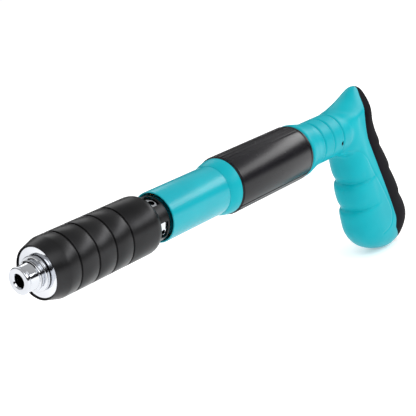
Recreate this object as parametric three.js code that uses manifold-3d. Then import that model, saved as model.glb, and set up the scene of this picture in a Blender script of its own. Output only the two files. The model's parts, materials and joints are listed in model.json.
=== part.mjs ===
// A hand-held push-to-fire nail gun: a barrel with its turning muffler sleeve slides into a tube
// that ends in a pistol handle, and a spring hammer behind the barrel strikes the nail.
// Millimetres. The parts are made round the X axis, with x = 0 at the muzzle face, +X towards the
// handle and -Z down the handle. The finished group stands on the handle's lowest point.
import * as THREE from "three";
import { mergeVertices } from "three/addons/utils/BufferGeometryUtils.js";
import Module from "manifold-3d";

const wasm = await Module();
wasm.setup();

// Clearances
const GAP = 0.3; // between neighbouring pieces
const SLIDE_GAP = 0.6; // radial, round a piece that slides

// Driving dimensions: radii and walls
const BORE_R = 3.75;
const BARREL_WALL = 2.25;
const LIP_R = 7.8;
const RING_1_R = 8.7;
const RING_2_R = 10.3;
const TUBE_R = 16;
const TUBE_WALL = 1;
const SLEEVE_R = 18.2;
const SLEEVE_WALL = 2.9;
const GROOVE_DEPTH = 0.8;
const VENT_TUBE_R = 13.2;
const VENT_TUBE_WALL = 1.5;
const VENT_HOLE_R = 2;
const COLLAR_WALL = 0.6;
const BAND_THICKNESS = 3.2; // from the tube's surface to the rib crests
const RIB_HEIGHT = 0.7;
const RIB_COUNT = 36;
const PAD_START = 38; // degrees from the top
const PAD_END = 128;
const NECK_R = TUBE_R - GAP;
const GRIP_WIDTH = 31;
const SHELL_WALL = 3;
const SECTION_POWER = 2.6; // how square the grip's section is: 2 is an ellipse
const BEAK_SHARE = 0.42; // how thick the beak's tip is, as a share of the grip's width
const SECTION_LEVELS = [0.1, 0.35, 0.65, 0.83, 0.94, 0.99];

// Driving dimensions: lengths
const NOSE_LENGTH = 13.4;
const SLEEVE_LENGTH = 83.5;
const SLEEVE_REST_GAP = 2.5; // what is left between sleeve and tube at the end of the stroke
const SLEEVE_TAPER = 8.5;
const GROOVE_PITCH = 13.8;
const GROOVE_WIDTH = 1.2;
const WINDOW_LENGTH = 7.5;
const STROKE = 9; // how far the barrel slides in before the hammer is let go
const TUBE_LENGTH = 138;
const SHOULDER_LENGTH = 9.7;
const BAND_LENGTH = 77.9;
const HAMMER_LENGTH = 33;
const SEAR_SHIFT = 1.5;
const GRIP_DROP = 101.5; // from the tube's axis to the handle's lowest point

// Stations along X
const CAP_X = NOSE_LENGTH + 0.4;
const SLEEVE_X = CAP_X - 0.8;
const SLEEVE_END = SLEEVE_X + SLEEVE_LENGTH;
const TUBE_X = SLEEVE_END + STROKE + SLEEVE_REST_GAP;
const COLLAR_END = TUBE_X - 1.5;
const TUBE_END = TUBE_X + TUBE_LENGTH;
const BAND_END = TUBE_END + 3.7;
const BAND_X = BAND_END - BAND_LENGTH;
const SHOULDER_X = BAND_X - GAP - SHOULDER_LENGTH;
const HANDLE_X = BAND_END + GAP;
const BUSH_X = TUBE_X + 10;
const BUSH_LENGTH = 11;
const BREECH_X = BUSH_X + BUSH_LENGTH + GAP;
const BREECH_LENGTH = 6.7;
const SPRING_X = BREECH_X + BREECH_LENGTH + GAP;
const SPRING_LENGTH = 27.4;
const SEAT_X = SPRING_X + SPRING_LENGTH + GAP;
const SEAT_LENGTH = 4;
const BUFFER_X = SEAT_X + SEAT_LENGTH + GAP;
const BUFFER_LENGTH = 2.7;
const HAMMER_X = BUFFER_X + BUFFER_LENGTH + 1.5;
const HAMMER_END = HAMMER_X + HAMMER_LENGTH;
const PLUG_X = TUBE_END - 5.5;
const TAIL_END = HANDLE_X + 50;

// Radii that follow
const TUBE_IN_R = TUBE_R - TUBE_WALL;
const OVER_TUBE_R = TUBE_R + GAP;
const BAND_R = TUBE_R + BAND_THICKNESS;
const BARREL_R = BORE_R + BARREL_WALL;
const SLEEVE_IN_R = SLEEVE_R - SLEEVE_WALL;
const VENT_IN_R = VENT_TUBE_R - VENT_TUBE_WALL;
const SPIGOT_R = VENT_IN_R - GAP;
const COLLAR_IN_R = VENT_TUBE_R + GAP + 0.1;
const COLLAR_R = COLLAR_IN_R + COLLAR_WALL;
const BOSS_R = LIP_R - 0.8;
const HAMMER_R = TUBE_IN_R - 1.8;
const PIN_R = 4;
const PIN_TIP_R = 1.9;
const TAIL_R = NECK_R - 4.7;
const BLOCK_X = HAMMER_X + 1.8;
const BLOCK_LENGTH = 5.4;
const BLOCK_WIDTH = 8.4;

const FINE = 32;
const COARSE = 20;
const QUARTERS = [0, 1, 2, 3].map((k) => (k * Math.PI) / 2);
const WINDOW_ANGLE = THREE.MathUtils.degToRad(20.6);
const VENT_ANGLE = THREE.MathUtils.degToRad(27.6);

// ---- shapes -------------------------------------------------------------------------------

// A closed three.js geometry as a manifold-3d solid.
function solid(geometry) {
  const bare = geometry.index ? geometry.toNonIndexed() : geometry.clone();
  bare.deleteAttribute("normal");
  bare.deleteAttribute("uv");
  const merged = mergeVertices(bare, 1e-4);
  const triVerts = new Uint32Array(merged.index.array);
  const vertProperties = merged.attributes.position.array;
  return new wasm.Manifold(new wasm.Mesh({ numProp: 3, vertProperties, triVerts }));
}

// A solid back as a three.js geometry.
function geometryOf(body) {
  const mesh = body.getMesh();
  const geometry = new THREE.BufferGeometry();
  geometry.setAttribute("position", new THREE.BufferAttribute(new Float32Array(mesh.vertProperties), 3));
  geometry.setIndex(new THREE.BufferAttribute(new Uint32Array(mesh.triVerts), 1));
  geometry.computeVertexNormals();
  return geometry;
}

// A solid turned round the X axis. The outline is [x, radius] points; it closes on itself, or it
// starts and ends on the axis.
function turned(outline, sides = COARSE) {
  const onAxis = outline[0][1] === 0;
  const points = onAxis ? [...outline] : [...outline, outline[0]];
  let area = 0;
  outline.forEach(([x, r], i) => {
    const [nextX, nextR] = outline[(i + 1) % outline.length];
    area += x * nextR - nextX * r;
  });
  if (area > 0) points.reverse();
  const profile = points.map(([x, r]) => new THREE.Vector2(r, x));
  return solid(new THREE.LatheGeometry(profile, sides).rotateZ(-Math.PI / 2));
}

function ring(x0, x1, inner, outer, sides = COARSE) {
  return turned([[x0, inner], [x0, outer], [x1, outer], [x1, inner]], sides);
}

function rod(x0, x1, radius, sides = COARSE) {
  return turned([[x0, 0], [x0, radius], [x1, radius], [x1, 0]], sides);
}

function block(x0, x1, y0, y1, z0, z1) {
  const box = new THREE.BoxGeometry(x1 - x0, y1 - y0, z1 - z0);
  return solid(box.translate((x0 + x1) / 2, (y0 + y1) / 2, (z0 + z1) / 2));
}

// A rod along Y from y0 to y1, its middle at x, z.
function crossRod(x, z, y0, y1, radius, sides = 16) {
  const cylinder = new THREE.CylinderGeometry(radius, radius, y1 - y0, sides);
  return solid(cylinder.translate(x, (y0 + y1) / 2, z));
}

// A rod that stands out from the X axis at station x, turned round X from +Z towards -Y.
function spoke(x, angle, from, to, radius, sides = 16) {
  const cylinder = new THREE.CylinderGeometry(radius, radius, to - from, sides);
  cylinder.translate(0, (from + to) / 2, 0).rotateX(Math.PI / 2 + angle).translate(x, 0, 0);
  return solid(cylinder);
}

function torus(x, middle, radius) {
  const circle = Array.from({ length: 6 }, (_, i) => {
    const a = (i * Math.PI) / 3;
    return [x + radius * Math.cos(a), middle + radius * Math.sin(a)];
  });
  return turned(circle, COARSE);
}

class Helix extends THREE.Curve {
  constructor(start, length, radius, turns) {
    super();
    Object.assign(this, { start, length, radius, turns });
  }
  getPoint(t, target = new THREE.Vector3()) {
    const a = t * this.turns * 2 * Math.PI;
    const y = this.radius * Math.cos(a);
    return target.set(this.start + t * this.length, y, this.radius * Math.sin(a));
  }
}

// A coil spring along X that fills x0 to x1.
function coil(x0, x1, radius, wire, turns) {
  const section = new THREE.Shape();
  for (let i = 0; i < 5; i += 1) {
    const a = (i * 2 * Math.PI) / 5;
    if (i) section.lineTo(wire * Math.cos(a), wire * Math.sin(a));
    else section.moveTo(wire, 0);
  }
  const path = new Helix(x0 + wire, x1 - x0 - 2 * wire, radius, turns);
  return solid(new THREE.ExtrudeGeometry(section, { steps: turns * 10, extrudePath: path }));
}

// A solid of stacked [x, z] outlines along Y. Each layer shrinks towards the spine, so that the
// section is rounded; `reach` carries the end faces further out, for a cutting tool.
function layered(outline, halfWidth, reach = 0) {
  const flat = (list) => list.map(([x, z]) => new THREE.Vector2(x, z));
  const points = THREE.ShapeUtils.isClockWise(flat(outline)) ? outline : [...outline].reverse();
  const levels = [...SECTION_LEVELS.map((level) => -level).reverse(), ...SECTION_LEVELS];
  const count = points.length;
  const positions = [];
  for (const level of levels) {
    const share = (1 - Math.abs(level) ** SECTION_POWER) ** (1 / SECTION_POWER);
    const end = Math.abs(level) === SECTION_LEVELS.at(-1) ? reach * Math.sign(level) : 0;
    for (const [x, z] of points) {
      const [sx, sz] = nearestOnSpine(x, z);
      const height = sz + (z - sz) * share;
      const thick = reach ? halfWidth : halfWidth * thickness(height);
      positions.push(sx + (x - sx) * share, level * thick + end, height);
    }
  }
  const faces = [];
  for (let row = 0; row < levels.length - 1; row += 1)
    for (let i = 0; i < count; i += 1) {
      const a = row * count + i;
      const b = row * count + ((i + 1) % count);
      faces.push(a, b, a + count, b, b + count, a + count);
    }
  const last = (levels.length - 1) * count;
  for (const [a, b, c] of THREE.ShapeUtils.triangulateShape(flat(points), [])) {
    faces.push(a, b, c);
    faces.push(last + a, last + c, last + b);
  }
  const geometry = new THREE.BufferGeometry();
  geometry.setAttribute("position", new THREE.Float32BufferAttribute(positions, 3));
  geometry.setIndex(faces);
  return solid(geometry);
}

// ---- barrel -------------------------------------------------------------------------------

function nosePiece() {
  return turned([
    [1, BORE_R + GAP / 2], [0, BORE_R + 0.7], [0, LIP_R - 0.4], [0.4, LIP_R], [1.4, LIP_R],
    [1.6, LIP_R - 0.9], [2.4, LIP_R - 0.9], [2.6, LIP_R - 0.2], [NOSE_LENGTH - 5.2, LIP_R - 0.2],
    [NOSE_LENGTH - 5.2, RING_1_R], [NOSE_LENGTH - 3.4, RING_1_R], [NOSE_LENGTH - 3.2, RING_1_R - 0.7],
    [NOSE_LENGTH - 2.4, RING_1_R - 0.7], [NOSE_LENGTH - 2.2, RING_2_R], [NOSE_LENGTH, RING_2_R],
    [NOSE_LENGTH, BOSS_R], [CAP_X + 10.2, BOSS_R], [CAP_X + 10.2, BORE_R + GAP / 2],
  ], FINE);
}

function frontCap() {
  const bore = BOSS_R + GAP;
  return turned([
    [CAP_X, bore], [CAP_X, SLEEVE_IN_R - GAP - 0.5], [CAP_X + 0.5, SLEEVE_IN_R - GAP],
    [CAP_X + 2.6, SLEEVE_IN_R - GAP], [CAP_X + 2.6, SPIGOT_R], [CAP_X + 10.2, SPIGOT_R],
    [CAP_X + 10.2, bore],
  ], FINE);
}

function ventTube() {
  let tube = ring(CAP_X + 2.6 + GAP, BREECH_X - GAP, VENT_IN_R, VENT_TUBE_R, FINE);
  for (const quarter of QUARTERS)
    tube = tube.subtract(
      spoke(COLLAR_END - 5, quarter + VENT_ANGLE, VENT_IN_R - 1, VENT_TUBE_R + 1, VENT_HOLE_R),
    );
  return tube;
}

function barrelTube() {
  return ring(CAP_X + 10.2 + GAP, BREECH_X - 3.3, BORE_R, BARREL_R);
}

function breechHead() {
  const pinHole = PIN_TIP_R + 0.7;
  return turned([
    [BREECH_X - 3, pinHole], [BREECH_X - 3, SPIGOT_R], [BREECH_X, SPIGOT_R],
    [BREECH_X, TUBE_IN_R - 0.4], [BREECH_X + BREECH_LENGTH, TUBE_IN_R - 0.4],
    [BREECH_X + BREECH_LENGTH, pinHole],
  ]);
}

// ---- power sleeve -------------------------------------------------------------------------

function mufflerSleeve() {
  const taperEnd = SLEEVE_X + SLEEVE_TAPER;
  const firstGroove = taperEnd + 8 - GROOVE_WIDTH / 2;
  const outline = [[SLEEVE_X, SLEEVE_IN_R], [SLEEVE_X, SLEEVE_IN_R + 0.4], [taperEnd, SLEEVE_R]];
  for (let i = 0; i < 4; i += 1) {
    const x = firstGroove + i * GROOVE_PITCH;
    outline.push([x, SLEEVE_R], [x + 0.2, SLEEVE_R - GROOVE_DEPTH]);
    outline.push([x + GROOVE_WIDTH - 0.2, SLEEVE_R - GROOVE_DEPTH], [x + GROOVE_WIDTH, SLEEVE_R]);
  }
  const roundX = SLEEVE_END - 5.5;
  for (let i = 0; i <= 4; i += 1) {
    const a = (i * Math.PI) / 8;
    outline.push([roundX + 5.5 * Math.sin(a), SLEEVE_R - 2.6 * (1 - Math.cos(a))]);
  }
  const stepX = SLEEVE_END - 10.5;
  const rib = VENT_TUBE_R + 0.8;
  outline.push([SLEEVE_END, COLLAR_R + GAP], [stepX, COLLAR_R + GAP], [stepX, SLEEVE_IN_R]);
  outline.push([CAP_X + 5.2, SLEEVE_IN_R], [CAP_X + 5.2, rib]);
  outline.push([CAP_X + 2.9, rib], [CAP_X + 2.9, SLEEVE_IN_R]);
  return turned(outline, FINE);
}

function powerCollar() {
  let collar = ring(SLEEVE_END - 8.5, COLLAR_END, COLLAR_IN_R, COLLAR_R, FINE);
  const half = Math.tan(Math.PI / 8) * (COLLAR_R + 1);
  for (const quarter of QUARTERS) {
    const shape = new THREE.Shape();
    shape.moveTo(0, 0);
    shape.lineTo(half, COLLAR_R + 1);
    shape.lineTo(-half, COLLAR_R + 1);
    const wedge = new THREE.ExtrudeGeometry(shape, { depth: WINDOW_LENGTH, bevelEnabled: false });
    wedge.rotateX(Math.PI / 2).rotateZ(Math.PI / 2);
    wedge.computeBoundingBox();
    wedge.translate(COLLAR_END - 1.5 - wedge.boundingBox.max.x, 0, 0);
    wedge.rotateX(quarter + WINDOW_ANGLE);
    collar = collar.subtract(solid(wedge));
  }
  return collar;
}

// ---- tube and what is in it ---------------------------------------------------------------

function mainTube() {
  return turned([
    [TUBE_X + 0.5, TUBE_IN_R], [TUBE_X, TUBE_IN_R + 0.3], [TUBE_X + 0.4, TUBE_R],
    [TUBE_END, TUBE_R], [TUBE_END, TUBE_IN_R],
  ], FINE);
}

function firingPin() {
  return turned([
    [BREECH_X - 1, 0], [BREECH_X - 1, PIN_TIP_R], [SPRING_X + 1, PIN_TIP_R],
    [SPRING_X + 4, PIN_R], [BLOCK_X - GAP, PIN_R], [BLOCK_X - GAP, 0],
  ]);
}

function hammer() {
  const rim = TUBE_IN_R - SLIDE_GAP;
  let body = turned([
    [HAMMER_X, 0], [HAMMER_X, HAMMER_R - 0.6], [HAMMER_X + 0.6, HAMMER_R],
    [HAMMER_END - 10, HAMMER_R], [HAMMER_END - 9, rim], [HAMMER_END, rim], [HAMMER_END, 0],
  ]);
  const half = BLOCK_WIDTH / 2 + GAP;
  const slot = [BLOCK_X - GAP, BLOCK_X + BLOCK_LENGTH + GAP];
  body = body.subtract(rod(HAMMER_X - 1, BLOCK_X, PIN_R + 0.4));
  body = body.subtract(rod(slot[1] - 0.1, HAMMER_END - 8, PIN_R + 0.6));
  return body.subtract(block(slot[0], slot[1], -half, half, -HAMMER_R + 2.4, TUBE_R));
}

function searBlock() {
  const half = BLOCK_WIDTH / 2;
  const low = -HAMMER_R + 2.4 + GAP + 3.4;
  const bar = block(BLOCK_X, BLOCK_X + BLOCK_LENGTH, -half, half, low, TUBE_R);
  const round = rod(BLOCK_X - 1, BLOCK_X + BLOCK_LENGTH + 1, TUBE_IN_R - 1);
  const hole = rod(BLOCK_X - 1, BLOCK_X + BLOCK_LENGTH + 1, PIN_R - 0.2).translate(0, 0, SEAR_SHIFT);
  return bar.intersect(round).subtract(hole);
}

function searSpring() {
  const base = -HAMMER_R + 2.4 + GAP;
  const x = BLOCK_X + BLOCK_LENGTH / 2;
  return coil(0, 3.1, 1.8, 0.35, 3).rotate([0, -90, 0]).translate(x, 0, base);
}

function releaseRing() {
  const x = HAMMER_X + 11.5;
  const inner = HAMMER_R + 0.45;
  const outer = TUBE_IN_R - GAP;
  return turned([[x, outer - 0.4], [x, outer], [x + 6, outer], [x + 6, inner], [x + 3, inner]]);
}

function rearPlug() {
  return turned([
    [PLUG_X, 0], [PLUG_X, TUBE_IN_R - GAP], [BAND_END - 0.4, TUBE_IN_R - GAP],
    [BAND_END - 0.4, TAIL_R], [TAIL_END, TAIL_R], [TAIL_END, 0],
  ]);
}

function frontShoulder() {
  const x = SHOULDER_X;
  return turned([
    [x, OVER_TUBE_R], [x + 0.4, TUBE_R + 0.9], [x + 1.7, TUBE_R + 1.3], [x + 3.7, TUBE_R + 1.6],
    [x + SHOULDER_LENGTH, BAND_R - 0.9], [x + SHOULDER_LENGTH, OVER_TUBE_R],
  ], FINE);
}

// The band has a smooth pad on each side, from PAD_START to PAD_END from the top, and ribs between.
function gripBand() {
  const outline = new THREE.Shape();
  const pitch = (2 * Math.PI) / RIB_COUNT;
  for (let i = 0; i < RIB_COUNT; i += 1) {
    const fromTop = Math.abs(180 - ((i + 0.5) * 360) / RIB_COUNT);
    const valley = fromTop > PAD_START && fromTop < PAD_END ? BAND_R : BAND_R - RIB_HEIGHT;
    for (const [share, radius] of [[0, valley], [0.3, BAND_R], [0.7, BAND_R], [0.99, valley]]) {
      const a = (i + share) * pitch;
      const point = [-radius * Math.cos(a), radius * Math.sin(a)];
      if (i || share) outline.lineTo(...point);
      else outline.moveTo(...point);
    }
  }
  const length = BAND_LENGTH - 3;
  const ribs = new THREE.ExtrudeGeometry(outline, { depth: length, bevelEnabled: false });
  ribs.rotateY(Math.PI / 2).rotateX(Math.PI).translate(BAND_X, 0, 0);
  const rim = rod(BAND_END - 4, BAND_END, BAND_R - RIB_HEIGHT, FINE);
  const hole = rod(BAND_X - 1, BAND_END + 1, OVER_TUBE_R, FINE);
  return solid(ribs).add(rim).subtract(hole);
}

// ---- handle -------------------------------------------------------------------------------

// Handle points are [x past the neck's front face, z]; z scales with the drop.
const DROP_SCALE = GRIP_DROP / 101.5;
const place = ([x, z]) => [HANDLE_X + x, z < 0 ? z * DROP_SCALE : z];
// Down the back from the beak, round the bottom and up the finger side.
const GRIP_OUTLINE = [
  [44, 12], [56, 16.4], [67, 20.8], [75, 25], [80.5, 27], [87, 26], [91.5, 22], [93.2, 15],
  [92.2, 7], [92.4, 0], [96, -8], [99.5, -15], [99.6, -17.5], [105, -26.5], [110.5, -36],
  [110.6, -38.5], [117, -50], [121.2, -59], [121.2, -61.5], [126, -70], [128.8, -78], [128.6, -85],
  [123.6, -92.5], [115, -98.5], [102, -101.5], [89, -100], [77, -95.5], [68.4, -88.6],
  [62.5, -80.5], [60.5, -72], [60, -66], [61, -62.5], [58.5, -57], [57.3, -50], [57.5, -45],
  [59, -41], [57, -36], [56.3, -29], [56, -23], [54, -18], [45, -13],
].map(place);
const STRAP_EDGE = [
  [87, 36], [83, 25.5], [79.6, 20], [76.5, 12], [76, 3], [78.5, -7], [82, -15], [89.5, -28], [98, -42],
  [105, -55], [110, -66], [113, -75], [113.5, -83], [111.5, -92], [108, -112],
].map(place);
const CAVITY_OUTLINE = [
  [58, 8], [67, 9], [67.5, -4], [72, -17], [79, -30], [87, -44], [94, -58], [99, -70],
  [100, -80], [96, -90], [89, -93], [78, -89], [70, -81], [66, -72], [65, -52], [63, -30], [60, -14],
].map(place);
const SPINE = [[70, 8], [69, -8], [78, -32], [87, -58], [94, -78]].map(place);
const BOSSES = [[71, -14], [78, -36], [86, -58], [93, -80]].map(place);
const SET_SCREW = [HANDLE_X + 41, -4];

// The grip's thickness at height z as a share of its width: the beak thins to its tip.
function thickness(z) {
  return 1 - (1 - BEAK_SHARE) * THREE.MathUtils.smoothstep(z, 6, 27);
}

function nearestOnSpine(x, z) {
  let best = SPINE[0];
  let least = Infinity;
  for (let i = 0; i < SPINE.length - 1; i += 1) {
    const [ax, az] = SPINE[i];
    const [bx, bz] = SPINE[i + 1];
    const along = ((x - ax) * (bx - ax) + (z - az) * (bz - az)) / ((bx - ax) ** 2 + (bz - az) ** 2);
    const t = Math.min(1, Math.max(0, along));
    const [px, pz] = [ax + t * (bx - ax), az + t * (bz - az)];
    const distance = Math.hypot(x - px, z - pz);
    if (distance < least) [best, least] = [[px, pz], distance];
  }
  return best;
}

// Everything behind the strap's front edge, moved along X by `shift`.
function behindStrapEdge(shift) {
  const far = HANDLE_X + 220;
  const edge = STRAP_EDGE.map(([x, z]) => [x + shift, z]);
  return layered([...edge, [far, edge.at(-1)[1]], [far, edge[0][1]]], GRIP_WIDTH / 2, 4);
}

function gripBody() {
  return layered(GRIP_OUTLINE, GRIP_WIDTH / 2);
}

function handleNeck() {
  const x = HANDLE_X;
  const outline = [
    [x, 0], [x, NECK_R + 2.8], [x + 0.8, NECK_R + 3.2], [x + 2.5, NECK_R + 3.2],
    [x + 6.5, NECK_R + 2.2], [x + 11, NECK_R + 1.3], [x + 16, NECK_R + 0.1],
  ];
  for (const groove of [19.7, 31, 43])
    outline.push([x + groove - 0.5, NECK_R], [x + groove, NECK_R - 0.5], [x + groove + 0.5, NECK_R]);
  outline.push([x + 52, NECK_R], [x + 60, NECK_R - 2], [x + 64, NECK_R - 8], [x + 64, 0]);
  return turned(outline, FINE);
}

// One half of the handle: side -1 is the left half (-Y), side 1 the right.
function handleHalf(side) {
  const halfWidth = GRIP_WIDTH / 2;
  const cavity = layered(CAVITY_OUTLINE, halfWidth - SHELL_WALL);
  const tailRoom = rod(HANDLE_X - 1, TAIL_END + GAP, TAIL_R + GAP);
  let half = handleNeck().add(gripBody()).subtract(behindStrapEdge(0));
  half = half.subtract(cavity);
  for (const [x, z] of BOSSES) half = half.add(crossRod(x, z, 1 - halfWidth, halfWidth - 1, 3.6));
  half = half.subtract(tailRoom);
  for (const [x, z] of BOSSES) {
    half = half.subtract(crossRod(x, z, -halfWidth + 4, halfWidth + 1, 1.9));
    half = half.subtract(crossRod(x, z, halfWidth - 3.5, halfWidth + 1, 3));
  }
  const [x, z] = SET_SCREW;
  half = half.subtract(crossRod(x, z, -NECK_R - 1, -TAIL_R + 2, 1.8));
  const far = HANDLE_X + 200;
  const cut = [side * (GAP / 2), side * (GRIP_WIDTH + 10)].sort((a, b) => a - b);
  return half.intersect(block(0, far, cut[0], cut[1], -GRIP_DROP - 20, 60));
}

function backStrap() {
  return gripBody().intersect(behindStrapEdge(2 * GAP));
}

function handleScrew([x, z]) {
  const halfWidth = GRIP_WIDTH / 2;
  const head = crossRod(x, z, halfWidth - 3.2, halfWidth - 1.4, 2.6);
  return head.add(crossRod(x, z, -halfWidth + 5, halfWidth - 3, 1.5));
}

function setScrew() {
  const [x, z] = SET_SCREW;
  return crossRod(x, z, -NECK_R + 1.2, -TAIL_R - GAP - 0.4, 1.4);
}

// ---- materials ----------------------------------------------------------------------------

function finish(color, roughness, metalness) {
  return () => new THREE.MeshStandardMaterial({ color, roughness, metalness });
}
const chrome = finish("#d8dade", 0.12, 1);
const blackSatin = finish("#262626", 0.45, 0.6);
const blackGloss = finish("#1f1d24", 0.3, 0);
const tealPaint = finish("#0cc4d2", 0.25, 0);
const tealPlastic = finish("#0bbfcc", 0.4, 0);
const blackRubber = finish("#231f28", 0.8, 0);
const steel = finish("#8f9296", 0.35, 1);
const springSteel = finish("#7a7c80", 0.3, 1);
const nitrile = finish("#17171a", 0.6, 0);
const brass = finish("#c9a24b", 0.3, 1);

// ---- assembly -----------------------------------------------------------------------------

const gun = new THREE.Group();

function piece(name, body, material) {
  const mesh = new THREE.Mesh(geometryOf(body), material());
  mesh.name = name;
  gun.add(mesh);
}

piece("nose_piece", nosePiece(), chrome);
piece("front_cap", frontCap(), chrome);
piece("vent_tube", ventTube(), chrome);
piece("barrel_tube", barrelTube(), steel);
[26, 46, 66].forEach((x, i) => {
  piece(`baffle_${i + 1}`, ring(CAP_X + x, CAP_X + x + 2, BARREL_R + GAP, SPIGOT_R), steel);
});
piece("breech_head", breechHead(), steel);
piece("retaining_ring", ring(CAP_X + 5.6, CAP_X + 6.8, VENT_TUBE_R + GAP, SLEEVE_IN_R - GAP), springSteel);
const sealMiddle = (VENT_TUBE_R + SLEEVE_IN_R) / 2;
const sealRadius = (SLEEVE_IN_R - VENT_TUBE_R) / 2 - 0.25;
piece("o_ring_front", torus(CAP_X + 10, sealMiddle, sealRadius), nitrile);
piece("o_ring_rear", torus(SLEEVE_END - 14, sealMiddle, sealRadius), nitrile);
piece("muffler_sleeve", mufflerSleeve(), blackSatin);
piece("power_collar", powerCollar(), blackSatin);
piece("main_tube", mainTube(), tealPaint);
piece("tube_bush", ring(BUSH_X, BUSH_X + BUSH_LENGTH, VENT_TUBE_R + GAP, TUBE_IN_R - GAP), brass);
piece("return_spring", coil(SPRING_X, SPRING_X + SPRING_LENGTH, TUBE_IN_R - 2.5, 1, 5), springSteel);
piece("spring_seat", ring(SEAT_X, SEAT_X + SEAT_LENGTH, PIN_R + SLIDE_GAP, TUBE_IN_R - GAP), steel);
piece("buffer_washer", ring(BUFFER_X, BUFFER_X + BUFFER_LENGTH, PIN_R + 1, TUBE_IN_R - GAP), nitrile);
piece("firing_pin", firingPin(), steel);
piece("hammer", hammer(), steel);
piece("sear_block", searBlock(), steel);
piece("sear_spring", searSpring(), springSteel);
piece("release_ring", releaseRing(), steel);
piece("hammer_spring", coil(HAMMER_END + GAP, PLUG_X - GAP, TUBE_IN_R - 5.5, 1.25, 6), springSteel);
piece("rear_plug", rearPlug(), steel);
piece("front_shoulder", frontShoulder(), tealPlastic);
piece("grip_band", gripBand(), blackGloss);
piece("handle_left", handleHalf(-1), tealPlastic);
piece("handle_right", handleHalf(1), tealPlastic);
piece("back_strap", backStrap(), blackRubber);
piece("set_screw", setScrew(), blackSatin);
BOSSES.forEach((boss, i) => piece(`handle_screw_${i + 1}`, handleScrew(boss), steel));

// The frame: bottom centre of the whole gun's box.
const box = new THREE.Box3().setFromObject(gun, true);
const middle = box.getCenter(new THREE.Vector3());
gun.position.set(-middle.x, -middle.y, -box.min.z);

const part = new THREE.Group();
part.add(gun);
export default part;
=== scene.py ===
import json
from math import atan2, cos, pi, radians, sin

import bpy
import numpy as np
from mathutils import Matrix, Vector
from mathutils.geometry import interpolate_bezier


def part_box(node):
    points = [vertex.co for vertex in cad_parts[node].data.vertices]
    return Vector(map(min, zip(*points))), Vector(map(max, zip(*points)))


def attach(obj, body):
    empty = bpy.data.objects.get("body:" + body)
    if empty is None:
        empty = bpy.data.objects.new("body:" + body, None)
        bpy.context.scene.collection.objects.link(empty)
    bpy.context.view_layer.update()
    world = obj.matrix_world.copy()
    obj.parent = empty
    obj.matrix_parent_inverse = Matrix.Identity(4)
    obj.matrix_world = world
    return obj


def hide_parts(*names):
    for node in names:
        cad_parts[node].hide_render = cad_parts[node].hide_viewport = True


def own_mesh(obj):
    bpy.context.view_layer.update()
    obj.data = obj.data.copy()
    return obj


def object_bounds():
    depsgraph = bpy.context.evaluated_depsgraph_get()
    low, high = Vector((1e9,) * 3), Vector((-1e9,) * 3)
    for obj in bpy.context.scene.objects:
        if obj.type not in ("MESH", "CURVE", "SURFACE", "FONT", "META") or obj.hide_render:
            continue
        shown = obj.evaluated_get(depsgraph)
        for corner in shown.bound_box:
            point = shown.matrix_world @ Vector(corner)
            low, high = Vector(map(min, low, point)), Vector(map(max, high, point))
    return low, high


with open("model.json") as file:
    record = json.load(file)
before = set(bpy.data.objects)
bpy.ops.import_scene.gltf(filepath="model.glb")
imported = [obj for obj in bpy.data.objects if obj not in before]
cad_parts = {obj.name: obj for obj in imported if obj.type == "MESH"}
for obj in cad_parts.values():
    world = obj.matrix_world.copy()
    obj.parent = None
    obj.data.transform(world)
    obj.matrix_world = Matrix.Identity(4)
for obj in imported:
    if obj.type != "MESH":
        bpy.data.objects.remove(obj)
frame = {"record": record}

cad_low, cad_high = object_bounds()
MM = 0.001

# The muzzle's face and the height of the tube's axis, in metres.
MUZZLE_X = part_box("nose_piece")[0].x
AXIS_Z = (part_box("main_tube")[0].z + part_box("main_tube")[1].z) / 2
CUT_GAP = 0.03 * MM  # from the middle plane to each handle shell
MARGIN = 0.02 * MM  # how far the handle stays inside the frame's box


def span(node):
    """First and last x of a CAD node."""
    low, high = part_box(node)
    return low.x, high.x


def radius(node):
    """Half of a CAD node's width."""
    low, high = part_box(node)
    return (high.y - low.y) / 2


# ---- materials ----------------------------------------------------------------------------


def colour(text):
    """An sRGB hex value as linear RGBA."""
    parts = [int(text[i : i + 2], 16) / 255 for i in (1, 3, 5)]
    return [c / 12.92 if c <= 0.04045 else ((c + 0.055) / 1.055) ** 2.4 for c in parts] + [1.0]


def add(tree, kind, links=None, **settings):
    """A node with its settings; links maps an input to the output that feeds it."""
    made = tree.nodes.new(kind)
    for key, value in settings.items():
        if hasattr(made, key):
            setattr(made, key, value)
        else:
            made.inputs[key.replace("_", " ")].default_value = value
    for key, source in (links or {}).items():
        tree.links.new(source, made.inputs[key])
    return made


def ramp(tree, source, stops):
    """A colour ramp of (position, hex) stops."""
    made = add(tree, "ShaderNodeValToRGB", {"Fac": source})
    while len(made.color_ramp.elements) < len(stops):
        made.color_ramp.elements.new(0.5)
    for element, (place, value) in zip(made.color_ramp.elements, stops):
        element.position = place
        element.color = colour(value)
    return made.outputs["Color"]


def new_material(name):
    """An empty principled material and its object coordinates."""
    material = bpy.data.materials.new(name)
    material.use_nodes = True
    tree = material.node_tree
    shader = tree.nodes["Principled BSDF"]
    place = add(tree, "ShaderNodeTexCoord").outputs["Object"]
    return material, tree, shader, place


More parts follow.
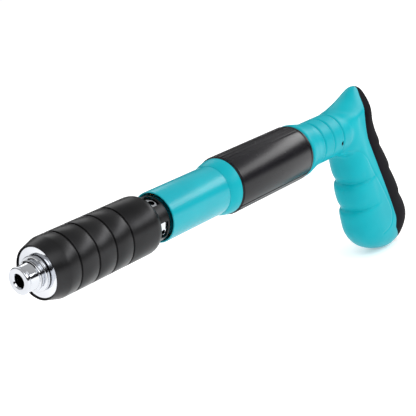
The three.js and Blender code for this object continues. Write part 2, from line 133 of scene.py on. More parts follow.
def surface(name, shades, rough, grain_mm, bump, metallic=0.0, stretch=(1, 1, 1), ior=None,
            gloss=0.5):
    """A principled material: noise of grain_mm shifts its colour between two shades, its roughness
    between two values and its height by bump millimetres."""
    material, tree, shader, place = new_material(name)
    mapped = add(tree, "ShaderNodeMapping", {"Vector": place}, Scale=stretch).outputs["Vector"]
    noise = add(tree, "ShaderNodeTexNoise", {"Vector": mapped}, Scale=1 / (grain_mm * MM), Detail=4.0,
                Roughness=0.6)
    cloud = add(tree, "ShaderNodeTexNoise", {"Vector": place}, Scale=1 / (22 * MM), Detail=2.0)
    tree.links.new(ramp(tree, cloud.outputs["Fac"], [(0.3, shades[0]), (0.75, shades[1])]),
                   shader.inputs["Base Color"])
    spread = add(tree, "ShaderNodeMapRange", {"Value": noise.outputs["Fac"]}, To_Min=rough[0],
                 To_Max=rough[1])
    tree.links.new(spread.outputs["Result"], shader.inputs["Roughness"])
    height = add(tree, "ShaderNodeBump", {"Height": noise.outputs["Fac"]}, Strength=0.6, Distance=bump * MM)
    tree.links.new(height.outputs["Normal"], shader.inputs["Normal"])
    shader.inputs["Metallic"].default_value = metallic
    shader.inputs["Specular IOR Level"].default_value = gloss
    if ior:
        shader.inputs["IOR"].default_value = ior
    return material


def make_materials():
    """Every finish on the tool, by the record's slot names."""
    around = (1, 0.06, 0.06)
    return {
        # Chrome plate over turned steel: a mirror with the faintest turning marks round the axis.
        "chrome": surface("chrome_plate", ("#C9CCD2", "#E2E4E8"), (0.05, 0.11), 0.8, 0.01, 1.0, around),
        # Turned steel, lightly oiled: grey, with marks round the axis that soften what it mirrors.
        "machined_steel": surface("turned_steel", ("#84878C", "#A0A3A8"), (0.22, 0.4), 0.6, 0.03, 1.0,
                                  around),
        # Drawn spring wire: darker and smoother than turned steel.
        "spring_steel": surface("drawn_spring_wire", ("#63666B", "#83868B"), (0.2, 0.32), 0.5, 0.01, 1.0),
        # Nitrile rubber, moulded: black with a soft sheen.
        "nitrile": surface("nitrile_rubber", ("#141416", "#1C1C1F"), (0.5, 0.62), 0.5, 0.02, ior=1.52),
        # Aluminium, turned and black anodised: a grey satin highlight that spreads along the sleeve.
        "black_anodised": surface("black_anodised_aluminium", ("#2E2E2F", "#3A3A3B"), (0.3, 0.4), 0.7, 0.012,
                                  1.0, around),
        # Steel tube, powder coated: an even teal that takes a clear highlight, nearly free of peel.
        "teal_paint": surface("teal_powder_coat", ("#009CAA", "#00A3B0"), (0.22, 0.27), 2.0, 0.002,
                              ior=1.5, gloss=0.4),
        # ABS, injection moulded in a satin tool: a little softer than the tube's paint.
        "teal_plastic": surface("teal_abs", ("#009CA9", "#00A4B0"), (0.33, 0.4), 0.5, 0.004, ior=1.53,
                                gloss=0.14),
        # Sintered bronze: matt yellow brown with open pores.
        "bronze": surface("sintered_bronze", ("#A8813F", "#C09A55"), (0.4, 0.55), 0.4, 0.03, 1.0),
        # ABS, moulded in a polished tool: near black, with one soft streak along its smooth pad.
        "black_gloss": surface("black_gloss_abs", ("#0D0C10", "#131217"), (0.24, 0.29), 3.0, 0.001,
                               ior=1.53, gloss=0.3),
        # Thermoplastic rubber moulded over the back: near black with a touch of violet, matt, fine grained.
        "black_rubber": surface("overmoulded_rubber", ("#0A080D", "#110E15"), (0.62, 0.78), 0.45, 0.03,
                                ior=1.5, gloss=0.06),
        # Steel with black oxide: dark and slightly oily.
        "blackened_steel": surface("black_oxide_steel", ("#1B1B1D", "#28282A"), (0.3, 0.45), 0.4, 0.01, 1.0),
    }


# ---- modelling ----------------------------------------------------------------------------


def clear_selection():
    """Nothing is selected afterwards."""
    bpy.ops.object.select_all(action="DESELECT")


def activate(obj):
    """Selects one object and makes it the active one."""
    clear_selection()
    obj.select_set(True)
    bpy.context.view_layer.objects.active = obj


def apply_modifier(obj, kind, **settings):
    """Adds a modifier and applies it at once."""
    activate(obj)
    made = obj.modifiers.new(kind.lower(), kind)
    for key, value in settings.items():
        setattr(made, key, value)
    bpy.ops.object.modifier_apply(modifier=made.name)


def edit(obj):
    """Edit mode on one object."""
    activate(obj)
    bpy.ops.object.mode_set(mode="EDIT")
    bpy.ops.mesh.select_mode(type="VERT")


def leave():
    """Back to object mode."""
    bpy.ops.object.mode_set(mode="OBJECT")


def settle(obj, smooth_angle=35):
    """The object's place goes into its mesh, and its faces are shaded smooth up to an angle."""
    activate(obj)
    bpy.ops.object.transform_apply(location=True, rotation=True, scale=True)
    bpy.ops.object.shade_smooth_by_angle(angle=radians(smooth_angle))


def finish_piece(obj, name, body, slot, *nodes):
    """Names a piece, gives it its finish and puts it on its body in place of the CAD nodes."""
    obj.name = name
    obj.data.name = name
    obj.data.materials.clear()
    obj.data.materials.append(MATERIALS[slot])
    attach(obj, body)
    if nodes:
        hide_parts(*nodes)
    return obj


def turn(outline, sides=128, bevel_mm=0.15, segments=2):
    """A ring turned round the tube's axis. The outline is a closed loop of (x, radius) in metres;
    a circle is drawn out along it ring by ring, and its edges are broken by a small bevel."""
    clear_selection()
    x, r = outline[0]
    bpy.ops.mesh.primitive_circle_add(vertices=sides, radius=r, location=(x, 0, AXIS_Z),
                                      rotation=(0, pi / 2, 0))
    obj = bpy.context.object
    bpy.ops.object.transform_apply(location=True, rotation=True, scale=True)
    edit(obj)
    bpy.ops.mesh.select_all(action="SELECT")
    for (x0, r0), (x1, r1) in zip(outline, [*outline[1:], outline[0]]):
        bpy.ops.mesh.extrude_region_move(TRANSFORM_OT_translate={"value": (x1 - x0, 0, 0)})
        grow = r1 / r0
        if abs(grow - 1) > 1e-9:
            bpy.ops.transform.resize(value=(1, grow, grow), center_override=(x1, 0, AXIS_Z))
    bpy.ops.mesh.select_all(action="SELECT")
    bpy.ops.mesh.remove_doubles(threshold=1e-6)
    bpy.ops.mesh.normals_make_consistent(inside=False)
    leave()
    if bevel_mm:
        apply_modifier(obj, "BEVEL", width=bevel_mm * MM, segments=segments, limit_method="ANGLE",
                       angle_limit=radians(25), use_clamp_overlap=True)
    settle(obj)
    return obj


def from_muzzle(points):
    """Outline points in millimetres from the muzzle face and the axis, as metres."""
    return [(MUZZLE_X + x * MM, r * MM) for x, r in points]


def cutter(obj, tool, operation="DIFFERENCE"):
    """A boolean with a tool that is used up."""
    apply_modifier(obj, "BOOLEAN", operation=operation, solver="EXACT", object=tool)
    bpy.data.objects.remove(tool, do_unlink=True)


def rod(location, direction, length, r, sides=32):
    """A plain cutting rod, its middle at location."""
    clear_selection()
    turned = Vector(direction).to_track_quat("Z", "Y").to_euler()
    bpy.ops.mesh.primitive_cylinder_add(vertices=sides, radius=r, depth=length, location=location,
                                        rotation=turned)
    obj = bpy.context.object
    bpy.ops.object.transform_apply(location=True, rotation=True, scale=True)
    return obj


def around_axis(x, angle, r):
    """The point at radius r and an angle from +Z towards -Y, at station x."""
    return Vector((x, -r * sin(angle), AXIS_Z + r * cos(angle)))


# ---- nose and barrel ----------------------------------------------------------------------


def nose():
    """The turned nose: the muzzle with its rings, and the flange behind it."""
    bore = 3.9
    piece = turn(from_muzzle([
        (1.0, bore), (0, 4.5), (0, 7.3), (0.25, 7.68), (0.6, 7.8), (1.3, 7.8), (1.55, 7.5), (1.7, 6.95),
        (2.2, 6.9), (2.45, 7.2), (2.7, 7.6), (8.1, 7.6), (8.25, 8.55), (8.5, 8.7), (9.7, 8.7), (10.0, 8.5),
        (10.15, 8.0), (10.9, 8.0), (11.1, 10.0), (11.4, 10.3), (13.1, 10.3), (13.4, 10.1), (13.4, 7.0),
        (24.0, 7.0), (24.0, bore),
    ]), bevel_mm=0.1)
    finish_piece(piece, "nose_with_rings", "barrel", "chrome", "nose_piece")


def front_disc():
    """The bright disc that the sleeve's cone ends on."""
    x0, x1 = span("front_cap")
    rim = radius("front_cap")
    piece = turn([
        (x0, 7.3 * MM), (x0, rim - 0.5 * MM), (x0 + 0.2 * MM, rim - 0.15 * MM), (x0 + 0.5 * MM, rim),
        (x0 + 2.6 * MM, rim), (x0 + 2.6 * MM, 11.4 * MM), (x1, 11.4 * MM), (x1, 7.3 * MM),
    ], bevel_mm=0.08)
    finish_piece(piece, "front_disc", "barrel", "chrome", "front_cap")


def vented_tube():
    """The tube with four vent holes, which the collar's windows uncover."""
    x0, x1 = span("vent_tube")
    r = radius("vent_tube")
    piece = turn([(x0, r - 1.5 * MM), (x0, r), (x1, r), (x1, r - 1.5 * MM)], bevel_mm=0.2)
    hole_x = span("power_collar")[1] - 5 * MM
    for quarter in range(4):
        angle = radians(27.6) + quarter * pi / 2
        spot = around_axis(hole_x, angle, r)
        cutter(piece, rod(spot, spot - Vector((hole_x, 0, AXIS_Z)), 6 * MM, 2 * MM, 40))
    settle(piece)
    finish_piece(piece, "vented_tube", "barrel", "chrome", "vent_tube")


# ---- power sleeve -------------------------------------------------------------------------


def sleeve():
    """The grooved muffler sleeve: a cone at the front, four turned grooves and a rounded back."""
    x0, x1 = span("muffler_sleeve")
    r = radius("muffler_sleeve")
    inner = 15.3 * MM
    outline = [(x0, inner), (x0, inner + 0.25 * MM), (x0 + 0.2 * MM, inner + 0.45 * MM)]
    outline += [(x0 + 8.0 * MM, r - 0.16 * MM), (x0 + 8.8 * MM, r - 0.02 * MM), (x0 + 9.6 * MM, r)]
    for i in range(4):
        groove = x0 + (16.5 + 13.8 * i) * MM
        for along, deep in ((-0.9, 0), (-0.72, 0.08), (-0.55, 0.75), (0.55, 0.75), (0.72, 0.08), (0.9, 0)):
            outline.append((groove + along * MM, r - deep * MM))
    round_x = x1 - 5.5 * MM
    for i in range(11):
        angle = i * pi / 20
        outline.append((round_x + 5.5 * MM * sin(angle), r - 2.6 * MM * (1 - cos(angle))))
    outline += [(x1, 14.5 * MM), (x1 - 10.5 * MM, 14.5 * MM), (x1 - 10.5 * MM, inner)]
    piece = turn(outline, bevel_mm=0.05, segments=1)
    finish_piece(piece, "grooved_sleeve", "power_sleeve", "black_anodised", "muffler_sleeve")


def collar():
    """The thin collar that shuts or opens the vents, with four windows and an end rim."""
    x0, x1 = span("power_collar")
    r = radius("power_collar")
    inner = r - 0.6 * MM
    piece = turn([(x0, inner), (x0, r), (x1 - 0.3 * MM, r), (x1, r - 0.2 * MM), (x1, inner)], bevel_mm=0.08)
    window = 7.5 * MM
    low = x1 - 1.5 * MM - window
    for quarter in range(4):
        angle = radians(20.6) + quarter * pi / 2
        clear_selection()
        bpy.ops.mesh.primitive_cube_add(size=1, location=(0, 0, 0))
        tool = bpy.context.object
        tool.scale = (window, 2 * r * sin(pi / 8), 8 * MM)
        bpy.ops.object.transform_apply(location=True, rotation=True, scale=True)
        apply_modifier(tool, "BEVEL", width=0.8 * MM, segments=4, limit_method="ANGLE")
        tool.location = around_axis(low + window / 2, angle, r)
        tool.rotation_euler = (angle, 0, 0)
        activate(tool)
        bpy.ops.object.transform_apply(location=True, rotation=True, scale=True)
        cutter(piece, tool)
    settle(piece)
    finish_piece(piece, "vent_collar", "power_sleeve", "black_anodised", "power_collar")


# ---- tube and grip band -------------------------------------------------------------------


def tube():
    """The painted tube, with a rounded front lip."""
    x0, x1 = span("main_tube")
    r = radius("main_tube")
    inner = r - 1 * MM
    piece = turn([
        (x0 + 0.5 * MM, inner), (x0 + 0.1 * MM, inner + 0.15 * MM), (x0, inner + 0.4 * MM),
        (x0 + 0.15 * MM, r - 0.2 * MM), (x0 + 0.5 * MM, r), (x1, r), (x1, inner),
    ], bevel_mm=0.08)
    finish_piece(piece, "painted_tube", "body", "teal_paint", "main_tube")


def shoulder():
    """The ring that swells from the tube to the grip band."""
    x0, x1 = span("front_shoulder")
    inner = radius("main_tube") + 0.02 * MM
    start = inner + 0.12 * MM
    outline = [(x0, inner)]
    rise = radius("front_shoulder") - start
    for i in range(9):
        share = i / 8
        outline.append((x0 + share * (x1 - x0 - 0.1 * MM), start + rise * sin(share * pi / 2) ** 0.8))
    outline += [(x1, inner)]
    piece = turn(outline, bevel_mm=0)
    finish_piece(piece, "shoulder_ring", "body", "teal_plastic", "front_shoulder")


RIBS = 36
RIB_DEPTH = 0.68 * MM
PAD_START, PAD_END = radians(38), radians(128)  # a smooth pad on each side, from the top


def band():
    """The ribbed grip band: ribs are drawn out of a turned ring and stop short of its back rim."""
    x0, x1 = span("grip_band")
    crest = radius("grip_band")
    base = crest - RIB_DEPTH
    rib_end = x1 - 3.2 * MM
    inner = 16.3 * MM
    piece = turn([
        (x0, inner), (x0, base - 0.3 * MM), (x0 + 0.3 * MM, base), (x0 + 0.8 * MM, base), (rib_end, base),
        (rib_end + 0.5 * MM, base), (rib_end + 0.8 * MM, base - 0.4 * MM),
        (rib_end + 1.2 * MM, base - 0.4 * MM), (rib_end + 1.5 * MM, base + 0.1 * MM),
        (x1 - 0.4 * MM, base + 0.1 * MM), (x1, base - 0.3 * MM), (x1, inner),
    ], sides=RIBS * 6, bevel_mm=0)
    for polygon in piece.data.polygons:
        centre = polygon.center
        from_top = abs(atan2(centre.y, centre.z - AXIS_Z))
        step = int(from_top / (2 * pi) * RIBS * 6) % 6
        pad = PAD_START < from_top < PAD_END
        outside = Vector((0, centre.y, centre.z - AXIS_Z)).length > base - 0.1 * MM
        polygon.select = outside and (pad or 0 < step < 5) and x0 + 0.8 * MM < centre.x < rib_end
    edit_selected(piece)
    bpy.ops.mesh.extrude_region_shrink_fatten(TRANSFORM_OT_shrink_fatten={"value": crest - base})
    leave()
    if max(v.co.y for v in piece.data.vertices) < crest - 0.2 * MM:
        raise RuntimeError("the ribs point inwards")
    apply_modifier(piece, "BEVEL", width=0.28 * MM, segments=3, limit_method="ANGLE", angle_limit=radians(40))
    settle(piece, 40)
    finish_piece(piece, "ribbed_band", "body", "black_gloss", "grip_band")


def edit_selected(obj):
    """Edit mode on faces that are already chosen."""
    for edge in obj.data.edges:
        edge.select = False
    for vertex in obj.data.vertices:
        vertex.select = False
    activate(obj)
    bpy.context.tool_settings.mesh_select_mode = (False, False, True)
    bpy.ops.object.mode_set(mode="EDIT")


# ---- handle -------------------------------------------------------------------------------

LAST_LEVEL = 0.99  # the outermost outline of a layered body, as a share of its half width
HANDLE_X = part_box("handle_left")[0].x
GRIP_HALF = (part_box("back_strap")[1].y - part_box("back_strap")[0].y) / 2 / LAST_LEVEL
SECTION_POWER = 2.6
BEAK_Z, BEAK_TOP, BEAK_SHARE = 6.0, 27.0, 0.42  # above BEAK_Z the beak narrows to this share
# The handle's side outline, millimetres from the neck's front face and the axis: the neck's top,
# the beak, down the stepped back, round the bottom and up the three finger scallops.
SIDE = [
    (44, 12), (56, 16.4), (67, 20.8), (75, 25), (80.5, 27), (87, 26), (91.5, 22), (93.2, 15),
    (92.2, 7), (92.4, 0), (96, -8), (99.5, -15), (99.6, -17.5), (105, -26.5), (110.5, -36),
    (110.6, -38.5), (117, -50), (121.2, -59), (121.2, -61.5), (126, -70), (128.8, -78), (128.6, -85),
    (123.6, -92.5), (115, -98.5), (102, -101.5), (89, -100), (77, -95.5), (68.4, -88.6),
    (62.5, -80.5), (60.5, -72), (60, -66), (61, -62.5), (58.5, -57), (57.3, -50), (57.5, -45),
    (59, -41), (57, -36), (56.3, -29), (56, -23), (54, -18), (45, -13),
]
STRAP_EDGE = [
    (87, 36), (83, 25.5), (79.6, 20), (76.5, 12), (76, 3), (78.5, -7), (82, -15), (89.5, -28), (98, -42),
    (105, -55), (110, -66), (113, -75), (113.5, -83), (111.5, -92), (108, -112),
]
SPINE = [(70, 8), (69, -8), (78, -32), (87, -58), (94, -78)]
PALM_LINE = [
    (48, -13), (60, -15.5), (69, -21.5), (77, -34), (87.6, -51.6), (95.5, -67.4), (96.7, -75.4),
    (92.9, -82), (83.4, -85.4),
]
CREASES = [(58.5, -41), (60.5, -62.5)]
STEPS = [(99.5, -16.5), (110.5, -37.5), (121.2, -60.5)]


def smooth_loop(points, each=6, closed=True):
    """A smooth curve through the points, as an array of x, z in millimetres."""
    flat = [Vector((x, z, 0)) for x, z in points]
    count = len(flat)
    out = []
    for i in range(count if closed else count - 1):
        p0 = flat[i - 1] if closed or i else flat[0]
        p1, p2 = flat[i], flat[(i + 1) % count]
        p3 = flat[(i + 2) % count] if closed or i + 2 < count else flat[-1]
        curve = interpolate_bezier(p1, p1 + (p2 - p0) / 6, p2 - (p3 - p1) / 6, p2, each + 1)
        out += [(v.x, v.y) for v in curve[:-1]]
    if not closed:
        out.append(points[-1])
    return np.array(out)


def distance_to(points, line):
    """Each point's distance to a polyline and the nearest place on it."""
    best = np.full(len(points), np.inf)
    spot = np.zeros((len(points), 2))
    for a, b in zip(line[:-1], line[1:]):
        a, b = np.array(a, float), np.array(b, float)
        t = np.clip(((points - a) @ (b - a)) / ((b - a) @ (b - a)), 0, 1)
        near = a + t[:, None] * (b - a)
        d = np.linalg.norm(points - near, axis=1)
        closer = d < best
        best[closer] = d[closer]
        spot[closer] = near[closer]
    return best, spot


def narrowing(z):
    """How thick the grip is at height z, as a share of its width: the beak thins to its tip."""
    climb = np.clip((z - BEAK_Z) / (BEAK_TOP - BEAK_Z), 0, 1)
    return 1 - (1 - BEAK_SHARE) * climb * climb * (3 - 2 * climb)


def layered(outline, half, levels, reach=0.0):
    """A rounded solid of stacked outlines along Y that shrink towards the spine."""
    spot = distance_to(outline, SPINE)[1]
    rows = []
    for level in levels:
        share = (1 - abs(level) ** SECTION_POWER) ** (1 / SECTION_POWER)
        ring = spot + (outline - spot) * share
        y = level * half * (1 if reach else narrowing(ring[:, 1]))
        y = y + (reach * np.sign(level) if abs(level) == levels[-1] else 0) + 0 * ring[:, 1]
        rows.append(np.column_stack([HANDLE_X + ring[:, 0] * MM, y, AXIS_Z + ring[:, 1] * MM]))
    count = len(outline)
    faces = []
    for row in range(len(levels) - 1):
        for i in range(count):
            a, b = row * count + i, row * count + (i + 1) % count
            faces.append((a, b, b + count, a + count))
    last = (len(levels) - 1) * count
    faces.append(tuple(range(count))[::-1])
    faces.append(tuple(range(last, last + count)))
    mesh = bpy.data.meshes.new("grip")
    mesh.from_pydata(np.vstack(rows).tolist(), [], faces)
    obj = bpy.data.objects.new("grip", mesh)
    bpy.context.collection.objects.link(obj)
    edit(obj)
    bpy.ops.mesh.select_all(action="SELECT")
    bpy.ops.mesh.normals_make_consistent(inside=False)
    leave()
    return obj


def neck_core():
    """The flared neck, up to where it runs into the grip."""
    flare = [
        (0, 18.5), (0.35, 18.85), (1, 18.9), (2.5, 18.9), (4.5, 18.45), (6.5, 17.9), (9, 17.4), (11, 17.0),
        (13.5, 16.3), (16, 15.8), (19, 15.7), (52, 15.7), (58, 14.6), (62, 11.5), (64, 7.7), (64, 2.0),
    ]
    return turn([(HANDLE_X, 2 * MM)] + [(HANDLE_X + x * MM, r * MM) for x, r in flare], bevel_mm=0)


def read_vertices(mesh, kind="co"):
    """The vertices' positions or normals as rows of x, y, z."""
    values = np.empty(len(mesh.vertices) * 3)
    mesh.vertices.foreach_get(kind, values)
    return values.reshape(-1, 3)


def write_vertices(mesh, co):
    mesh.vertices.foreach_set("co", co.ravel())
    mesh.update()


def press_lines(obj):
    """Fine lines in the handle: the neck's three grooves, which fade underneath, the palm panel's
    edge, the crests between the finger scallops and the steps down the back."""
    mesh = obj.data
    co = read_vertices(mesh)
    normal = read_vertices(mesh, "normal")
    x = (co[:, 0] - HANDLE_X) / MM
    y = co[:, 1] / MM
    z = (co[:, 2] - AXIS_Z) / MM
    depth = np.zeros(len(co))
    upward = np.clip((z + 14) / 16, 0, 1)
    for groove in (19.7, 31.0, 43.0):
        depth += 0.95 * upward * np.exp(-(((x - groove) / 0.62) ** 2))
    side = np.clip((np.abs(y) - 7) / 4, 0, 1)
    near = distance_to(np.column_stack([x, z]), smooth_loop(PALM_LINE, 5, False))[0]
    depth += 0.38 * side * np.exp(-((near / 0.7) ** 2))
    along = np.clip((84 - x) / 16, 0, 1) * np.clip((x - 49) / 3, 0, 1)
    for cx, cz in CREASES:
        above = z - (cz + 0.1 * (x - cx))
        scallop = np.where(above > 0, np.exp(-above / 6.5), np.exp(above / 0.7))
        depth += np.where(z < -16, 1.7 * along * scallop, 0)
    for cx, cz in STEPS:
        back = np.clip((x - cx + 9) / 5, 0, 1)
        above = z - (cz + 0.25 * (x - cx))
        depth += back * np.where(above > 0, np.exp(-above / 0.8), np.exp(above / 4)) * 0.8
    write_vertices(mesh, co - normal * depth[:, None] * MM)


def draw_in(body):
    """Draws the grip in by the few tenths its finer outline stands proud of the frame's grip."""
    boxes = [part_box(node) for node in ("handle_left", "handle_right", "back_strap")]
    back = max(high.x for low, high in boxes) - MARGIN
    top = max(high.z for low, high in boxes) - MARGIN
    foot = min(low.z for low, high in boxes) + MARGIN
    co = read_vertices(body.data)
    for column, origin, limit in ((0, HANDLE_X, back), (2, AXIS_Z, top), (2, AXIS_Z, foot)):
        away = (co[:, column] - origin) * (1 if limit > origin else -1)
        share = min(1.0, abs(limit - origin) / away.max())
        co[away > 0, column] = origin + (co[away > 0, column] - origin) * share
    write_vertices(body.data, co)


def whole_handle():
    """Neck and grip as one smooth body."""
    levels = [0.0, 0.15, 0.3, 0.45, 0.58, 0.7, 0.8, 0.87, 0.925, 0.965, LAST_LEVEL]
    levels = [-v for v in levels[:0:-1]] + levels
    body = layered(smooth_loop(SIDE), GRIP_HALF, levels)
    cutter(body, neck_core(), "UNION")
    apply_modifier(body, "REMESH", mode="VOXEL", voxel_size=0.62 * MM)
    apply_modifier(body, "SMOOTH", factor=0.5, iterations=36)
    press_lines(body)
    draw_in(body)
    return body


def duplicate(obj):
    """A copy with a mesh of its own."""
    made = obj.copy()
    made.data = obj.data.copy()
    bpy.context.collection.objects.link(made)
    return made


def slice_off(obj, point, normal):
    """Keeps what lies behind a plane and closes the cut."""
    edit(obj)
    bpy.ops.mesh.select_all(action="SELECT")
    bpy.ops.mesh.bisect(plane_co=point, plane_no=normal, use_fill=True, clear_outer=True)
    leave()


def handle():
    """Two shells that meet in the middle, the rubber strap behind them, and the screws' holes."""
    body = whole_handle()
    edge = smooth_loop(STRAP_EDGE, 4, False)
    levels = [-LAST_LEVEL, -0.97, -0.94, -0.9, -0.83, -0.75, -0.65, -0.5, -0.35, -0.18, 0]
    levels = levels + [-v for v in levels[-2::-1]]

    def behind(shift):
        loop = np.vstack([edge + [shift, 0], [[220 + shift, -112]], [[220 + shift, 34]]])
        return layered(loop, GRIP_HALF, levels, 4 * MM)

    strap = duplicate(body)
    cutter(strap, behind(0.35), "INTERSECT")
    apply_modifier(strap, "BEVEL", width=0.25 * MM, segments=2, limit_method="ANGLE", angle_limit=radians(50))
    settle(strap, 50)
    finish_piece(strap, "rubber_back_strap", "body", "black_rubber", "back_strap")
    cutter(body, behind(0))
    room = rod((HANDLE_X + 24 * MM, 0, AXIS_Z), (1, 0, 0), 53.2 * MM, 11.3 * MM, 64)
    cutter(body, room)
    shells = (-1, "handle_shell_left", "handle_left"), (1, "handle_shell_right", "handle_right")
    for side, name, node in shells:
        shell = duplicate(body)
        slice_off(shell, (0, side * CUT_GAP, 0), (0, -side, 0))
        if side < 0:
            low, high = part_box("set_screw")
            spot = (low + high) / 2
            cutter(shell, rod(spot, (0, 1, 0), 14 * MM, 1.75 * MM))
        else:
            for i in range(4):
                low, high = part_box(f"handle_screw_{i + 1}")
                spot = Vector(((low.x + high.x) / 2, high.y, (low.z + high.z) / 2))
                cutter(shell, rod(spot, (0, 1, 0), 8 * MM, 3 * MM))
        settle(shell, 40)
        finish_piece(shell, name, "body", "teal_plastic", node)
    bpy.data.objects.remove(body, do_unlink=True)


# ---- screws and springs -------------------------------------------------------------------


def socket_screw(node, outward, name):
    """A round-headed screw with a hexagon socket; outward is the way its head looks along Y."""
    low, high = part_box(node)
    r = (high.x - low.x) / 2
    face = high.y if outward > 0 else low.y
    clear_selection()
    middle = ((low.x + high.x) / 2, (low.y + high.y) / 2, (low.z + high.z) / 2)
    head = min(1.8 * MM, high.y - low.y)
    spot = (middle[0], face - outward * head / 2, middle[2])
    bpy.ops.mesh.primitive_cylinder_add(vertices=48, radius=r, depth=head, location=spot,
                                        rotation=(pi / 2, 0, 0))
    piece = bpy.context.object
    bpy.ops.object.transform_apply(location=True, rotation=True, scale=True)
    if high.y - low.y > 4 * MM:
        length = high.y - low.y - head
        shank_y = face - outward * (head + length / 2 - 0.2 * MM)
        cutter(piece, rod((middle[0], shank_y, middle[2]), (0, 1, 0), length, 1.4 * MM), "UNION")
    cutter(piece, rod((middle[0], face, middle[2]), (0, 1, 0), 2 * MM, r * 0.52, 6))
    apply_modifier(piece, "BEVEL", width=0.12 * MM, segments=3, limit_method="ANGLE", angle_limit=radians(40))
    settle(piece)
    finish_piece(piece, name, "body", "blackened_steel", node)


def coil_spring(node, turns, wire_mm, body, name, axis="X"):
    """A coil spring wound by a screw modifier."""
    low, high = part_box(node)
    wire = wire_mm * MM
    if axis == "X":
        length, r = high.x - low.x, (high.y - low.y) / 2 - wire
    else:
        length, r = high.z - low.z, (high.y - low.y) / 2 - wire
    clear_selection()
    bpy.ops.mesh.primitive_circle_add(vertices=14, radius=wire, rotation=(pi / 2, 0, 0), location=(0, 0, 0))
    piece = bpy.context.object
    bpy.ops.object.transform_apply(location=True, rotation=True, scale=True)
    edit(piece)
    bpy.ops.mesh.select_all(action="SELECT")
    bpy.ops.transform.translate(value=(r, 0, wire))
    leave()
    apply_modifier(piece, "SCREW", axis="Z", angle=2 * pi * turns, screw_offset=length - 2 * wire,
                   steps=turns * 32, render_steps=turns * 32)
    edit(piece)
    bpy.ops.mesh.select_all(action="DESELECT")
    bpy.ops.mesh.select_non_manifold()
    bpy.ops.mesh.fill_holes(sides=0)
    bpy.ops.mesh.select_all(action="SELECT")
    bpy.ops.mesh.normals_make_consistent(inside=False)
    leave()
    if axis == "X":
        piece.rotation_euler = (0, pi / 2, 0)
        piece.location = (low.x, 0, AXIS_Z)
    else:
        piece.location = ((low.x + high.x) / 2, 0, low.z)
    settle(piece)
    finish_piece(piece, name, body, "spring_steel", node)
    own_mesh(piece)


# ---- stage --------------------------------------------------------------------------------

AZIMUTH, ELEVATION, ROLL = -48.67, 16.67, -8.0
DISTANCE = 0.72166
TARGET_FROM_MUZZLE = Vector((0.15729, 0, -0.00988))


def camera():
    """The camera, looking at a point on the tube."""
    target = Vector((MUZZLE_X, 0, AXIS_Z)) + TARGET_FROM_MUZZLE
    turned = Matrix.Rotation(radians(AZIMUTH), 4, "Z") @ Matrix.Rotation(radians(90 - ELEVATION), 4, "X")
    turned = turned @ Matrix.Rotation(radians(ROLL), 4, "Z")
    data = bpy.data.cameras.new("camera")
    data.lens = 100
    data.sensor_width = 36
    data.clip_start = 0.01
    obj = bpy.data.objects.new("camera", data)
    obj.matrix_world = Matrix.Translation(target + turned.to_3x3() @ Vector((0, 0, DISTANCE))) @ turned
    bpy.context.collection.objects.link(obj)
    bpy.context.scene.camera = obj
    return target


def softbox(name, target, direction, distance, size, power):
    """A rectangular lamp that faces the target."""
    data = bpy.data.lights.new(name, "AREA")
    data.shape = "RECTANGLE"
    data.size, data.size_y = size
    data.energy = power
    obj = bpy.data.objects.new(name, data)
    way = Vector(direction).normalized()
    obj.location = target + way * distance
    obj.rotation_euler = way.to_track_quat("Z", "Y").to_euler()
    bpy.context.collection.objects.link(obj)


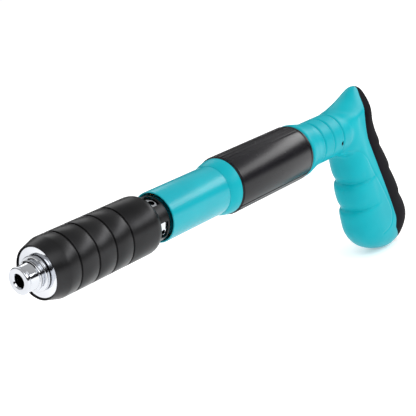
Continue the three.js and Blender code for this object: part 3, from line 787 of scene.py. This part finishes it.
def stage():
    """Camera, room, lamps and floor."""
    target = camera()
    world = bpy.data.worlds.new("studio")
    world.use_nodes = True
    tree = world.node_tree
    plain = tree.nodes["Background"]
    plain.inputs["Color"].default_value = (1, 1, 1, 1)
    plain.inputs["Strength"].default_value = 0.8
    # What polished metal mirrors: a dark room with a bright ceiling, so that its edges read.
    place = add(tree, "ShaderNodeTexCoord").outputs["Generated"]
    height = add(tree, "ShaderNodeSeparateXYZ", {"Vector": place}).outputs["Z"]
    lift = add(tree, "ShaderNodeMapRange", {"Value": height}, From_Min=-1.0, From_Max=1.0).outputs["Result"]
    room = ramp(tree, lift, [(0.5, "#1A1A1C"), (0.62, "#3A3A3C"), (0.75, "#FFFFFF")])
    mirrored = add(tree, "ShaderNodeBackground", {"Color": room}, Strength=0.5).outputs["Background"]
    ray = add(tree, "ShaderNodeLightPath").outputs["Is Glossy Ray"]
    both = add(tree, "ShaderNodeMixShader", {0: ray, 1: plain.outputs["Background"], 2: mirrored})
    tree.links.new(both.outputs["Shader"], tree.nodes["World Output"].inputs["Surface"])
    bpy.context.scene.world = world
    bpy.context.scene.view_settings.view_transform = "Standard"
    softbox("streak", target, (0.72, -0.5, 0.48), 1.1, (1.7, 0.3), 7)
    softbox("key", target, (-0.5, -0.8, 0.9), 1.0, (0.9, 0.6), 3)
    softbox("rim", target, (0.3, 1.0, 0.8), 0.9, (0.9, 0.4), 1.5)
    clear_selection()
    bpy.ops.mesh.primitive_plane_add(size=12, location=(0, 0, cad_low[2] - 0.0005))
    floor = bpy.context.object
    floor.name = "floor"
    material, tree, shader, place = new_material("pale_floor")
    shader.inputs["Base Color"].default_value = colour("#F4F4F4")
    shader.inputs["Roughness"].default_value = 1.0
    shader.inputs["Specular IOR Level"].default_value = 0.0
    shader.inputs["Emission Color"].default_value = (1, 1, 1, 1)
    shader.inputs["Emission Strength"].default_value = 0.3
    floor.data.materials.append(material)


stage()
MATERIALS = make_materials()
nose()
front_disc()
vented_tube()
sleeve()
collar()
tube()
shoulder()
band()
handle()
socket_screw("set_screw", -1, "side_set_screw")
for number in range(1, 5):
    socket_screw(f"handle_screw_{number}", 1, f"shell_screw_{number}")
coil_spring("return_spring", 6, 1.0, "body", "return_coil")
coil_spring("hammer_spring", 7, 1.25, "body", "hammer_coil")
coil_spring("sear_spring", 3, 0.35, "hammer", "sear_coil", axis="Z")

slots = {row["node"]: row["material_slot"] for row in frame["record"]["subparts"]}
for node, slot in slots.items():
    obj = bpy.data.objects.get(node)
    if obj is not None and obj.type == "MESH":
        obj.data.materials.clear()
        obj.data.materials.append(MATERIALS[slot])
